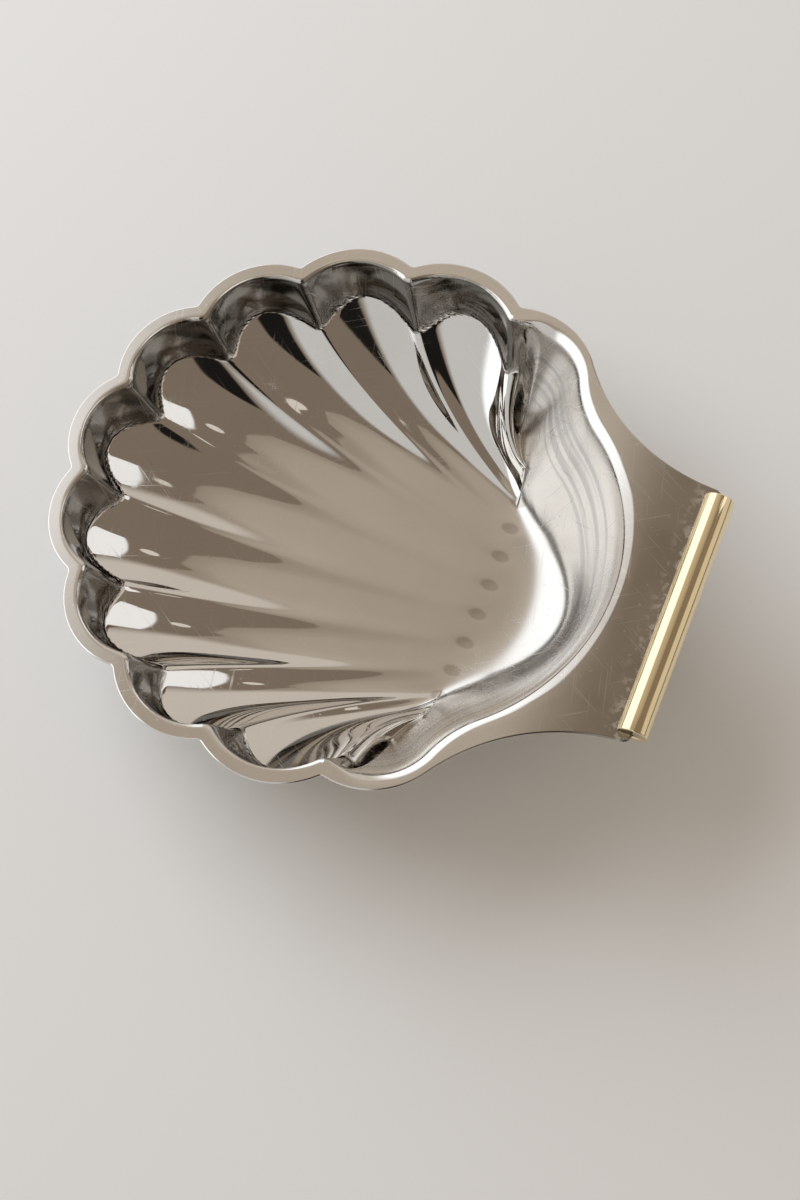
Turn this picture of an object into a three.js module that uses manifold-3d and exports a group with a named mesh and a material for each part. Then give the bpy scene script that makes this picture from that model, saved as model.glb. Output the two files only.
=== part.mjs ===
// Shell dish: a scallop pressed from one sheet of steel, with a slotted brass rod pushed over its tab.
// The sheet is worked out square to its rim plane and then tilted, so that its flat floor lies level.
import * as THREE from 'three';
import { mergeVertices } from 'three/addons/utils/BufferGeometryUtils.js';
import Module from 'manifold-3d';

const wasm = await Module();
wasm.setup();

// Driving dimensions, in millimetres and degrees

// The pressed sheet, and how its rim slopes when the dish stands on its floor
const SHEET = 1.0;
const REST_TILT = 7.5;

// Scalloped rim in plan: x runs to the rod, and the origin is the middle of the ring of notches
const FLUTES = 11;
const RING_HALF_LENGTH = 96.4;
const RING_HALF_WIDTH = 90.5;
const FAN = 91.0;
const LOBE_RISE = 7.7;
const NOTCH_ROUND = 2.0;
const LAST_LOBE_RADIUS = 28.5;
const LAST_LOBE_LEAN = 13.5;
const FLANGE = 5.3;
const CREST_ROUND = 3.5;

// Brass rod and the flat tab that it grips
const ROD_REACH = 113.0;
const ROD_DIAMETER = 10.0;
const ROD_LENGTH = 83.0;
const ROD_CHAMFER = 0.4;
const SLOT_DEPTH = 5.5;
const FIT_GAP = 0.3;
const TAB_HALF_WIDTH = 44.4;
const TAB_SIDE_RADIUS = 68.5;
const TAB_CORNER = 2.5;

// Plain edge of the bowl on the tab's side
const TAB_LENGTH = 21.5;
const HEEL_RADIUS = 68.7;
const THROAT_RADIUS = 40.0;

// Bowl: steep walls, a sloping shelf under each lobe and a flat floor with low ridges
const FLOOR_DEPTH = 43.6;
const WALL_ANGLE = 78.0;
const HEEL_ANGLE = 68.0;
const SHELF_DEPTH = 18.5;
const SHELF_ANGLE = 26.5;
const LAST_SHELF_ANGLE = 38.0;
const RIDGE_HEIGHT = 3.0;
const RIDGE_FADE = 110.0;
const RIDGE_FADE_POWER = 0.6;
const VALLEY_FLAT = 0.2;

// The shelf steepens towards the last flutes, counted back from the last lobe
const STEEPER_FROM = 2.0;
const STEEPER_TO = 0.5;

// Share of the plain edge over which the heel's softer foot sets in
const HEEL_FOOT_SHARE = 0.5;

// Roundings, as the height over which one surface passes into the next
const EDGE_ROUND = 7.0;
const KNEE_ROUND = 9.0;
const FLOOR_ROUND = 12.0;
const HEEL_EDGE_ROUND = 12.0;
const HEEL_FLOOR_ROUND = 26.0;

// Lines that the flutes follow in plan: from the rim past the shelf's bend to the ridges' ends
const SHELF_HALF_LENGTH = 65.0;
const SHELF_HALF_WIDTH = 61.0;
const SHELF_FAN = 228.5;
const RIDGE_END = 44.2;
const RIDGE_END_BOW = 5.0;
const RIDGE_END_RADIUS = 73.0;
const RIDGE_END_FAN = 81.0;

// Facets: places across a flute and past the last notch, and rings from the rim to the floor's middle
const ACROSS_FLUTE = [-0.5, -0.44, -0.27, -0.1, 0.1, 0.27, 0.44];
const PAST_LAST_NOTCH = [0.03, 0.06, 0.1, 0.16, 0.24, 0.33, 0.42, 0.51, 0.6];
const FLANGE_RINGS = [1.0, 0.3, 0.12, 0.0];
const WALL_RINGS = [1.0, 2.6, 4.4, 6.2, 9.0];
const FLOOR_RINGS = [0.08, 0.18, 0.31, 0.47, 0.65, 0.83, 1.0];
const ROD_FACETS = 48;

// Counts and angles that follow from the sizes
const radians = THREE.MathUtils.degToRad;
const LAST = (FLUTES - 1) / 2;
const KAPPA_END = LAST - 0.5 + PAST_LAST_NOTCH.at(-1);
const FILLET_SHARE = 0.06;
const EDGE_STEP = 0.001;
const PAST_POWER = 0.7;

// Direction on the last lobe where the lines of the fluted side give way to those of the tab's side
const SPLIT = radians(40.0);
const floorSlope = Math.tan(radians(REST_TILT));
const fanStep = (total) => radians(total / (FLUTES - 2));

const point = (x, y) => new THREE.Vector2(x, y);
const angleOf = (from, to) => Math.atan2(to.y - from.y, to.x - from.x);
const mirrored = (p) => point(p.x, -p.y);

// Smooth step, and the larger or smaller of two heights with a rounding k between them
function ease(u) {
  const v = THREE.MathUtils.clamp(u, 0, 1);
  return v * v * (3 - 2 * v);
}
function roundedMax(a, b, k) {
  const h = Math.max(k - Math.abs(a - b), 0) / k;
  return Math.max(a, b) + (h ** 3 * k) / 6;
}
const roundedMin = (a, b, k) => -roundedMax(-a, -b, k);

// Point at share u of the shorter arc between two directions on a circle
const turnBetween = (from, to) => THREE.MathUtils.euclideanModulo(to - from + Math.PI, 2 * Math.PI) - Math.PI;
function onArc(centre, radius, from, to, u) {
  const a = from + turnBetween(from, to) * u;
  return point(centre.x + radius * Math.cos(a), centre.y + radius * Math.sin(a));
}

// Centre of the circle of radius rho that touches two circles from outside, left of the line between them
function touchingCentre(c1, r1, c2, r2, rho) {
  const d = c1.distanceTo(c2);
  const a = r1 + rho;
  const b = r2 + rho;
  const along = (a * a - b * b + d * d) / (2 * d);
  const off = Math.sqrt(a * a - along * along);
  const e = c2.clone().sub(c1).divideScalar(d);
  return point(c1.x + along * e.x - off * e.y, c1.y + along * e.y + off * e.x);
}

// Notch k, counted from the middle: where its ray from the rod's middle crosses the ring's ellipse
function notch(k) {
  const a = (k - 0.5) * fanStep(FAN);
  const dx = -Math.cos(a) / RING_HALF_LENGTH;
  const dy = Math.sin(a) / RING_HALF_WIDTH;
  const x0 = ROD_REACH / RING_HALF_LENGTH;
  const square = dx * dx + dy * dy;
  const t = (-x0 * dx + Math.sqrt((x0 * dx) ** 2 - square * (x0 * x0 - 1))) / square;
  return point(ROD_REACH - t * Math.cos(a), t * Math.sin(a));
}

// Circle of lobe k on the side of positive y: through its two notches, or leaning out from the last notch
function lobeCircle(k) {
  if (k === LAST) {
    const lean = radians(LAST_LOBE_LEAN);
    const n = notch(LAST);
    const centre = point(Math.sin(lean), -Math.cos(lean)).multiplyScalar(LAST_LOBE_RADIUS).add(n);
    return { centre, radius: LAST_LOBE_RADIUS };
  }
  const lower = k === 0 ? mirrored(notch(1)) : notch(k);
  const upper = notch(k + 1);
  const chord = lower.distanceTo(upper);
  const radius = (chord * chord) / (8 * LOBE_RISE) + LOBE_RISE / 2;
  const out = point(lower.y - upper.y, upper.x - lower.x).divideScalar(chord);
  const centre = lower.clone().add(upper).divideScalar(2).addScaledVector(out, LOBE_RISE - radius);
  return { centre, radius };
}
const lobes = Array.from({ length: LAST + 1 }, (_, k) => lobeCircle(k));
const lobeAt = (k) => (k < 0 ? { ...lobes[-k], centre: mirrored(lobes[-k].centre) } : lobes[k]);

// Scalloped edge at kappa (whole numbers are lobes' middles, halves are notches), inset from the rim
function flutedEdge(kappa, inset, round) {
  const side = Math.abs(kappa);
  const k = Math.min(Math.round(side), LAST);
  const f = side - k;
  const { centre, radius } = lobes[k];
  const corner = (j) => {
    const near = lobeAt(j);
    const far = lobeAt(j + 1);
    const c = touchingCentre(near.centre, near.radius - inset, far.centre, far.radius - inset, round);
    return { c, middle: near.centre.clone().add(far.centre).divideScalar(2) };
  };
  const limit = 0.5 - FILLET_SHARE;
  const before = corner(k - 1);
  const start = angleOf(centre, before.c);
  let p;
  if (f < -limit) {
    const u = (-f - limit) / FILLET_SHARE;
    p = onArc(before.c, round, angleOf(before.c, centre), angleOf(before.c, before.middle), u);
  } else if (k < LAST) {
    const after = corner(k);
    if (f > limit) {
      const u = (f - limit) / FILLET_SHARE;
      p = onArc(after.c, round, angleOf(after.c, centre), angleOf(after.c, after.middle), u);
    } else {
      p = onArc(centre, radius - inset, start, angleOf(centre, after.c), (f + limit) / (2 * limit));
    }
  } else {
    p = onArc(centre, radius - inset, start, SPLIT, (f + limit) / (KAPPA_END - LAST + limit));
  }
  return kappa < 0 ? mirrored(p) : p;
}

// Edge made of stretches that follow each other, read by its share of the whole length
const arcStretch = (centre, radius, from, to) => ({
  length: radius * Math.abs(turnBetween(from, to)),
  at: (u) => onArc(centre, radius, from, to, u),
});
const lineStretch = (from, to) => ({ length: from.distanceTo(to), at: (u) => from.clone().lerp(to, u) });
function alongChain(stretches, share) {
  const total = stretches.reduce((sum, s) => sum + s.length, 0);
  let rest = share * total;
  let i = 0;
  while (i < stretches.length - 1 && rest > stretches[i].length) {
    rest -= stretches[i].length;
    i += 1;
  }
  return stretches[i].at(Math.min(rest / stretches[i].length, 1));
}

// Inner edge on the tab's side: the last lobe, the throat's hollow arc and the heel's arc to the middle
const heelCentre = point(ROD_REACH - TAB_LENGTH - HEEL_RADIUS, 0);
function heelStretches() {
  const { centre, radius } = lobes[LAST];
  const inner = radius - FLANGE;
  const throat = touchingCentre(centre, inner, heelCentre, HEEL_RADIUS, THROAT_RADIUS);
  return [
    arcStretch(centre, inner, SPLIT, angleOf(centre, throat)),
    arcStretch(throat, THROAT_RADIUS, angleOf(throat, centre), angleOf(throat, heelCentre)),
    arcStretch(heelCentre, HEEL_RADIUS, angleOf(heelCentre, throat), 0),
  ];
}

// Outer edge on the tab's side: the last lobe, the tab's hollow side, its round corner and straight end
const tabEnd = ROD_REACH - ROD_DIAMETER / 2 + SLOT_DEPTH - FIT_GAP;
function tabStretches() {
  const { centre, radius } = lobes[LAST];
  const foot = point(ROD_REACH, TAB_HALF_WIDTH);
  const side = touchingCentre(centre, radius, foot, 0, TAB_SIDE_RADIUS);
  const cornerX = tabEnd - TAB_CORNER;
  const reach = TAB_SIDE_RADIUS + TAB_CORNER;
  const corner = point(cornerX, side.y - Math.sqrt(reach * reach - (cornerX - side.x) ** 2));
  return [
    arcStretch(centre, radius, SPLIT, angleOf(centre, side)),
    arcStretch(side, TAB_SIDE_RADIUS, angleOf(side, centre), angleOf(side, corner)),
    arcStretch(corner, TAB_CORNER, angleOf(corner, side), 0),
    lineStretch(point(tabEnd, corner.y), point(tabEnd, 0)),
  ];
}

// Place on the curve where the ridges end, and on the curve where the flutes bend on their shelf
function endAt(kappa) {
  const across = Math.sin(kappa * fanStep(RIDGE_END_FAN));
  return point(RIDGE_END - RIDGE_END_BOW * across * across, RIDGE_END_RADIUS * across);
}
function shelfAt(kappa) {
  const a = kappa * fanStep(SHELF_FAN);
  return point(-SHELF_HALF_LENGTH * Math.cos(a), SHELF_HALF_WIDTH * Math.sin(a));
}

// How far a place lies past the last notch, as a share of the way to the tab's side
const pastLast = (kappa) => THREE.MathUtils.clamp((Math.abs(kappa) - LAST + 0.5) / PAST_LAST_NOTCH.at(-1), 0, 1);

// Point inside the bowl, straight in from an edge at u, half as far from it as the line's end is
function straightIn(edge, u, end) {
  const along = edge(u + EDGE_STEP).sub(edge(u - EDGE_STEP)).normalize();
  const start = edge(u);
  return start.clone().addScaledVector(point(along.y, -along.x), start.distanceTo(end) / 2);
}

// One line across the sheet: its rim point, its bowl edge, its bend on the shelf and its end on the floor
function lineAt(kappa, onHeel, heel, tab) {
  const side = Math.abs(kappa);
  const flip = (p) => (kappa < 0 ? mirrored(p) : p);
  const end = endAt(side);
  const past = onHeel ? 1 : pastLast(side);
  const plain = onHeel ? 1 - side / KAPPA_END : 0;
  const edge = onHeel ? (u) => alongChain(heel, u) : (u) => flutedEdge(u, FLANGE, CREST_ROUND);
  const inner = edge(onHeel ? plain : side);
  let outer;
  let bend;
  if (onHeel) {
    outer = alongChain(tab, plain);
    bend = straightIn(edge, THREE.MathUtils.clamp(plain, EDGE_STEP, 1 - EDGE_STEP), end);
  } else {
    outer = flutedEdge(side, 0, NOTCH_ROUND);
    bend = shelfAt(Math.min(side, LAST - 0.5));
    if (past > 0) {
      bend.lerp(straightIn(edge, Math.min(side, KAPPA_END - EDGE_STEP), end), past ** PAST_POWER);
    }
  }
  return { kappa, past, plain, outer: flip(outer), inner: flip(inner), bend: flip(bend), end: flip(end) };
}

// Height of the sheet's upper face at distance d inside the bowl's edge, on a line, at x in plan
function heightAt(line, d, x) {
  const side = Math.abs(line.kappa);
  const mix = (fluted, plain) => THREE.MathUtils.lerp(fluted, plain, ease(line.past));
  const wall = Math.tan(radians(mix(WALL_ANGLE, HEEL_ANGLE)));
  const toLast = ease((side - LAST + STEEPER_FROM) / (STEEPER_FROM - STEEPER_TO));
  const flutedAngle = THREE.MathUtils.lerp(SHELF_ANGLE, LAST_SHELF_ANGLE, toLast);
  const shelfAngle = THREE.MathUtils.lerp(flutedAngle, HEEL_ANGLE, line.past ** PAST_POWER);
  const shelf = SHELF_DEPTH + Math.tan(radians(shelfAngle)) * d;
  const across = 2 * Math.abs(side - Math.round(side));
  const crest = line.past < 1 && side < LAST ? ease((across - VALLEY_FLAT) / (1 - VALLEY_FLAT)) : 0;
  const fade = ease((RIDGE_END - x) / RIDGE_FADE) ** RIDGE_FADE_POWER;
  const floor = -FLOOR_DEPTH - floorSlope * x + RIDGE_HEIGHT * fade * crest;
  const drop = roundedMin(wall * d, shelf, KNEE_ROUND);
  const floorRound = THREE.MathUtils.lerp(FLOOR_ROUND, HEEL_FLOOR_ROUND, ease(line.plain / HEEL_FOOT_SHARE));
  const bowl = roundedMax(-drop, floor, floorRound);
  return roundedMin(bowl, 0, mix(EDGE_ROUND, HEEL_EDGE_ROUND));
}

// Points of one line's upper face, from the rim to the floor's middle
function linePoints(line) {
  const { outer, inner, bend, end } = line;
  const flangeWidth = outer.distanceTo(inner);
  const points = FLANGE_RINGS.map((share) => {
    const p = inner.clone().lerp(outer, share);
    return new THREE.Vector3(p.x, p.y, heightAt(line, -flangeWidth * share, p.x));
  });
  const perLength = 1 / (2 * inner.distanceTo(bend));
  const wallEnd = WALL_RINGS.at(-1) * perLength;
  const ts = WALL_RINGS.map((d) => d * perLength).concat(FLOOR_RINGS.map((u) => wallEnd + (1 - wallEnd) * u));
  const curve = new THREE.QuadraticBezierCurve(inner, bend, end);
  let before = inner;
  let d = 0;
  for (const t of ts) {
    const p = curve.getPoint(t);
    d += p.distanceTo(before);
    points.push(new THREE.Vector3(p.x, p.y, heightAt(line, d, p.x)));
    before = p;
  }
  return points;
}

// Places of the lines: across the flutes from one last lobe to the other, then back along the heel
function kappas() {
  const list = [];
  for (let k = -(LAST - 1); k < LAST; k += 1) {
    ACROSS_FLUTE.forEach((f) => list.push(k + f));
  }
  const last = [0, ...PAST_LAST_NOTCH].map((step) => LAST - 0.5 + step);
  return [...last.slice(1).map((k) => -k).reverse(), ...list, ...last];
}

// The pressed sheet as one closed skin: upper face, lower face a sheet's thickness below, and the rim between
function pressedSheet() {
  const heel = heelStretches();
  const tab = tabStretches();
  const places = kappas();
  const n = places.length;
  const lines = places.map((k) => lineAt(k, false, heel, tab));
  places.slice(1, -1).reverse().forEach((k) => lines.push(lineAt(k, true, heel, tab)));
  const count = lines.length;
  const points = [];
  const ids = [];
  lines.forEach((line, i) => {
    const own = linePoints(line);
    const twin = i < n ? null : own.pop();
    const row = own.map((p) => points.push(p) - 1);
    if (twin) row.push(ids[count - i].at(-1));
    ids.push(row);
  });
  const rings = ids[0].length;
  const id = (ring, i) => ids[i % count][ring];
  const faces = [];
  for (let ring = 0; ring < rings - 1; ring += 1) {
    for (let i = 0; i < count; i += 1) {
      const [a, b, c, d] = [id(ring, i), id(ring, i + 1), id(ring + 1, i + 1), id(ring + 1, i)];
      faces.push([a, c, b], [a, d, c]);
    }
  }
  const upper = new THREE.BufferGeometry().setFromPoints(points);
  upper.setIndex(faces.flat());
  upper.computeVertexNormals();
  const top = upper.getAttribute('position');
  const normal = upper.getAttribute('normal');
  const total = top.count;
  const position = new Float32Array(6 * total);
  position.set(top.array);
  for (let v = 0; v < total; v += 1) {
    position[3 * (total + v)] = top.getX(v) - SHEET * normal.getX(v);
    position[3 * (total + v) + 1] = top.getY(v) - SHEET * normal.getY(v);
    position[3 * (total + v) + 2] = top.getZ(v) - SHEET * normal.getZ(v);
  }
  const skin = faces.flatMap(([a, b, c]) => [a, b, c, total + a, total + c, total + b]);
  for (let i = 0; i < count; i += 1) {
    const [a, b] = [id(0, i), id(0, i + 1)];
    skin.push(a, b, total + b, a, total + b, total + a);
  }
  const geometry = new THREE.BufferGeometry();
  geometry.setAttribute('position', new THREE.BufferAttribute(position, 3));
  geometry.setIndex(skin);
  return geometry;
}

// Closed solid of a geometry, with its corners merged and its empty triangles left out
function solid(geometry) {
  geometry.deleteAttribute('normal');
  geometry.deleteAttribute('uv');
  const merged = mergeVertices(geometry);
  const index = merged.getIndex().array;
  const kept = [];
  for (let i = 0; i < index.length; i += 3) {
    const [a, b, c] = index.slice(i, i + 3);
    if (a !== b && b !== c && c !== a) kept.push(a, b, c);
  }
  const vertProperties = Float32Array.from(merged.getAttribute('position').array);
  return new wasm.Manifold(new wasm.Mesh({ numProp: 3, vertProperties, triVerts: Uint32Array.from(kept) }));
}

// The rod along y: a round bar with bevelled ends, slotted from the dish's side to just past its middle
function slottedRod() {
  const radius = ROD_DIAMETER / 2;
  const half = ROD_LENGTH / 2;
  const slotHeight = SHEET + 2 * FIT_GAP;
  const profile = [
    point(0, -half),
    point(radius - ROD_CHAMFER, -half),
    point(radius, ROD_CHAMFER - half),
    point(radius, half - ROD_CHAMFER),
    point(radius - ROD_CHAMFER, half),
    point(0, half),
  ];
  const bar = solid(new THREE.LatheGeometry(profile, ROD_FACETS));
  const slot = new THREE.BoxGeometry(SLOT_DEPTH + radius, 2 * ROD_LENGTH, slotHeight);
  slot.translate((SLOT_DEPTH + radius) / -2 + SLOT_DEPTH - radius, 0, 0);
  const mesh = bar.subtract(solid(slot)).getMesh();
  const geometry = new THREE.BufferGeometry();
  geometry.setAttribute('position', new THREE.BufferAttribute(mesh.vertProperties, 3));
  geometry.setIndex(new THREE.BufferAttribute(mesh.triVerts, 1));
  return geometry;
}

const steel = new THREE.MeshStandardMaterial({ color: 0xb9b0a4, roughness: 0.08, metalness: 1.0 });
const brass = new THREE.MeshStandardMaterial({ color: 0xd2ab66, roughness: 0.16, metalness: 1.0 });

const shell = new THREE.Mesh(pressedSheet(), steel);
shell.name = 'pressed_shell';

const rod = new THREE.Mesh(slottedRod(), brass);
rod.name = 'slotted_rod';
rod.position.set(ROD_REACH, 0, -SHEET / 2);

// Tilt the dish onto its floor, and put the origin under the middle of its box
const tilted = new THREE.Group();
tilted.rotation.y = -radians(REST_TILT);
tilted.add(shell, rod);

const dish = new THREE.Group();
dish.add(tilted);
dish.updateMatrixWorld(true);
const box = new THREE.Box3().setFromObject(dish, true);
const middle = box.getCenter(new THREE.Vector3());
tilted.position.set(-middle.x, -middle.y, -box.min.z);

export default dish;
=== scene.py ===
"""Shell dish: a scallop pressed from mirror-polished sheet steel, with a slotted brass rod on its tab.

The pressing is worked out in millimetres, square to its rim plane, as lines that run from the rim to the
middle of the floor.  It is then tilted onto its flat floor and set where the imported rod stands.

Values named PAST are shares of the way past the last notch, and those named EASE say how many times sooner
than the whole way a change is complete.
"""
import math
from functools import partial

import bpy
import numpy as np
from mathutils import Matrix, Vector


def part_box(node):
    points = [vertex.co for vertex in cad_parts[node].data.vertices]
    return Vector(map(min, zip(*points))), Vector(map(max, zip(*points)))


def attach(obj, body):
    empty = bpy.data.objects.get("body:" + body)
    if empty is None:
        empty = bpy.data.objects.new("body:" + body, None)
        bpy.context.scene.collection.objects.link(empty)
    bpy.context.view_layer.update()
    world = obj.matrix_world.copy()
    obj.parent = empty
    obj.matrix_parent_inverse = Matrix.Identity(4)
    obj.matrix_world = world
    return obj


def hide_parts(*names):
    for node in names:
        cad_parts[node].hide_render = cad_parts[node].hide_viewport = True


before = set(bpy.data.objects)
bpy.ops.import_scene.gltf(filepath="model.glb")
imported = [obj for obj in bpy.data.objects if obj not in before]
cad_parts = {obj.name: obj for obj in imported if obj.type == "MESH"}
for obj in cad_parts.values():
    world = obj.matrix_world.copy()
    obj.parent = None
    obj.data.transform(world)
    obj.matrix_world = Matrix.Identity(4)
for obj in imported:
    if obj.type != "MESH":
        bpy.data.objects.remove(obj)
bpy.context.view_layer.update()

# Sizes in millimetres and degrees, as in the pressing's drawing
MM = 0.001
SHEET = 1.0
REST_TILT = 7.5

# Rim: notches on an ellipse, seen from the rod's middle, with a lobe that rises between each pair
FLUTES = 11
RING_HALF_LENGTH = 96.4
RING_HALF_WIDTH = 90.5
FAN = 91.0
LOBE_RISE = 7.7
NOTCH_ROUND = 2.0
LAST_LOBE_RADIUS = 28.5
LAST_LOBE_LEAN = 13.5
FLANGE = 5.3
CREST_ROUND = 3.5

# Rod and tab
ROD_REACH = 113.0
ROD_DIAMETER = 10.0
ROD_LENGTH = 83.0
ROD_CHAMFER = 0.4
SLOT_DEPTH = 5.5
FIT_GAP = 0.3
TAB_HALF_WIDTH = 44.4
TAB_SIDE_RADIUS = 68.5
TAB_CORNER = 2.5
TAB_LENGTH = 21.5

# Flutes: a wall under the rim, then a shelf down to the floor, lower in the valleys than on the crests
WALL_ANGLE = 84.0
CREST_WALL_ANGLE = 75.0
SHELF_DEPTH = 18.5
SHELF_ANGLE = 34.0
LAST_SHELF_ANGLE = 38.0
LAST_SHELF_FROM = 2.0
LAST_SHELF_SPAN = 1.5
VALLEY_SHELF_DEPTH = 17.0
VALLEY_SHELF_ANGLE = 37.0
LAST_VALLEY_ANGLE = 50.0
LAST_VALLEY_EASE = 3.0
SHELF_HALF_LENGTH = 65.0
SHELF_HALF_WIDTH = 61.0
SHELF_FAN = 228.5
EDGE_ROUND = 7.0
KNEE_ROUND = 9.0
CREST_SHARPNESS = 0.4
WALL_CREST_POWER = 2.0
FLOOR_CREST_POWER = 3.0
CREST_POWER_EASE = 2.0

# Floor, and the ridges that run out on it
FLOOR_DEPTH = 43.6
FLOOR_ROUND = 32.0
RIDGE_HEIGHT = 1.6
RIDGE_END = 44.2
RIDGE_END_BOW = 5.0
RIDGE_END_RADIUS = 73.0
RIDGE_END_FAN = 81.0

# Heel: the plain wall on the tab's side, from the last notch onwards, with a sloping foot on the floor
HEEL_RADIUS = 68.7
THROAT_RADIUS = 40.0
HEEL_ANGLE = 71.0
LAST_NOTCH_ANGLE = 84.0
LAST_LOBE_ANGLE = 63.0
LAST_LOBE_EASE = 3.0
LAST_FLOOR_ROUND = 16.0
LAST_DROP = 30.0
LAST_DROP_PAST = 0.15
LAST_DROP_PAST_SPAN = 0.4
HEEL_EDGE_ROUND = 9.0
HEEL_FLOOR_ROUND = 14.0
FOOT_ANGLE = 31.0
FOOT_REACH = 30.0
FOOT_ROUND = 9.0
FOOT_FADE_FROM = 25.0
FOOT_FADE_SPAN = 30.0

# Marks left by the press: dents at the ridges' ends, and ripples along the heel's edge
DENT_DEPTH = 0.2
DENT_LENGTH = 2.4
DENT_WIDTH = 1.5
RIPPLE_HEIGHT = 0.045
RIPPLE_LENGTH = 4.6
RIPPLE_BAND = 12.0
RIPPLE_START = 2.0
RIPPLE_STOP = 3.0
RIPPLE_PAST = 0.6
RIPPLE_PAST_SPAN = 0.4

# Where the finish changes: the heel's worn wall, and the steep strip of wall under the lobes, where shade is
# painted
WORN_PAST = 0.12
WORN_PAST_SPAN = 0.4
WORN_REACH = 54.0
WORN_FADE = 26.0
WORN_TOP = 0.3
WORN_TOP_FADE = 3.0
WALL_STRIP_PAST = 0.5
WALL_STRIP_WIDTH = 6.0
WALL_STRIP_FADE = 4.0
STEEP_FROM = 0.7
STEEP_SPAN = 0.3
STEEP_WORN = 0.4
INWARD_PAST = 0.3

# Places counted across the flutes: whole numbers are lobes' middles, halves are notches
LAST = (FLUTES - 1) // 2
LAST_NOTCH = LAST - 0.5
PLACE_END = LAST + 0.1
FILLET_SHARE = 0.06
SPLIT = math.radians(40.0)
EDGE_STEP = 0.001
PAST_POWER = 0.7

# Fineness of the grids
LINES_PER_FLUTE = 20
LINES_PAST_NOTCH = 40
LAST_CROWD = 0.4
FLANGE_RINGS = 9
FLANGE_CROWD = 1.4
RIM_KEEP = 0.985
WALL_RINGS = 32
WALL_REACH = 11.0
FLOOR_RINGS = 42
FLOOR_CROWD = 1.35
EDGE_ROWS = 6
ROD_ARC = 96
ROD_ROWS = 12
ROD_END_ROWS = 5
SLOT_SHARES = (0.0, 0.45, 0.55, 1.0)


def fan_step(total):
    """Angle between neighbouring flutes when the notches together span the total angle."""
    return math.radians(total / (FLUTES - 2))


def ease(u):
    """Smooth step from 0 to 1: three u squared less two u cubed, with u held between 0 and 1."""
    v = np.clip(u, 0.0, 1.0)
    return v * v * (3.0 - 2.0 * v)


def mix(a, b, u):
    """Straight blend from a to b."""
    return a + (b - a) * u


def rounded_max(a, b, k):
    """Larger of two heights, with a cubic rounding where they are less than k apart."""
    h = np.maximum(k - np.abs(a - b), 0.0) / k
    return np.maximum(a, b) + h ** 3 * k / 6.0


def rounded_min(a, b, k):
    """Smaller of two heights, rounded in the same way."""
    return -rounded_max(-a, -b, k)


def turn_between(start, stop):
    """Shorter turn from one direction to another."""
    return (stop - start + math.pi) % (2.0 * math.pi) - math.pi


def on_arc(centre, radius, start, stop, u):
    """Point at share u of the shorter arc between two directions on a circle."""
    a = start + turn_between(start, stop) * u
    return np.stack([centre[..., 0] + radius * np.cos(a), centre[..., 1] + radius * np.sin(a)], -1)


def direction(start, stop):
    """Angle of the way from one point to another."""
    return np.arctan2(stop[..., 1] - start[..., 1], stop[..., 0] - start[..., 0])


def touching_centre(c1, r1, c2, r2, rho):
    """Centre of the circle of radius rho that touches two circles from outside, left of their line."""
    d = np.linalg.norm(c2 - c1, axis=-1)
    a = r1 + rho
    b = r2 + rho
    along = (a * a - b * b + d * d) / (2.0 * d)
    off = np.sqrt(a * a - along * along)
    e = (c2 - c1) / np.asarray(d)[..., None]
    x = c1[..., 0] + along * e[..., 0] - off * e[..., 1]
    y = c1[..., 1] + along * e[..., 1] + off * e[..., 0]
    return np.stack([x, y], -1)


def notch(k):
    """Notch k: where its ray from the rod's middle crosses the ellipse that the notches lie on."""
    a = (np.asarray(k) - 0.5) * fan_step(FAN)
    dx = -np.cos(a) / RING_HALF_LENGTH
    dy = np.sin(a) / RING_HALF_WIDTH
    x0 = ROD_REACH / RING_HALF_LENGTH
    square = dx * dx + dy * dy
    t = (-x0 * dx + np.sqrt((x0 * dx) ** 2 - square * (x0 * x0 - 1.0))) / square
    return np.stack([ROD_REACH - t * np.cos(a), t * np.sin(a)], -1)


def lobe_circles():
    """Centres and radii of lobes -1 to the last: arcs through neighbouring notches with one rise."""
    k = np.arange(LAST)
    lower = notch(k)
    upper = notch(k + 1)
    lower[0] = upper[0] * [1.0, -1.0]
    chord = np.linalg.norm(upper - lower, axis=1)
    radius = chord ** 2 / (8.0 * LOBE_RISE) + LOBE_RISE / 2.0
    out = np.stack([lower[:, 1] - upper[:, 1], upper[:, 0] - lower[:, 0]], 1) / chord[:, None]
    centre = (lower + upper) / 2.0 + out * (LOBE_RISE - radius)[:, None]
    lean = math.radians(LAST_LOBE_LEAN)
    last = notch(LAST) + LAST_LOBE_RADIUS * np.array([math.sin(lean), -math.cos(lean)])
    centres = np.vstack([centre[1] * [1.0, -1.0], centre, last])
    radii = np.concatenate([[radius[1]], radius, [LAST_LOBE_RADIUS]])
    return centres, radii


LOBE_CENTRES, LOBE_RADII = lobe_circles()


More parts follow.
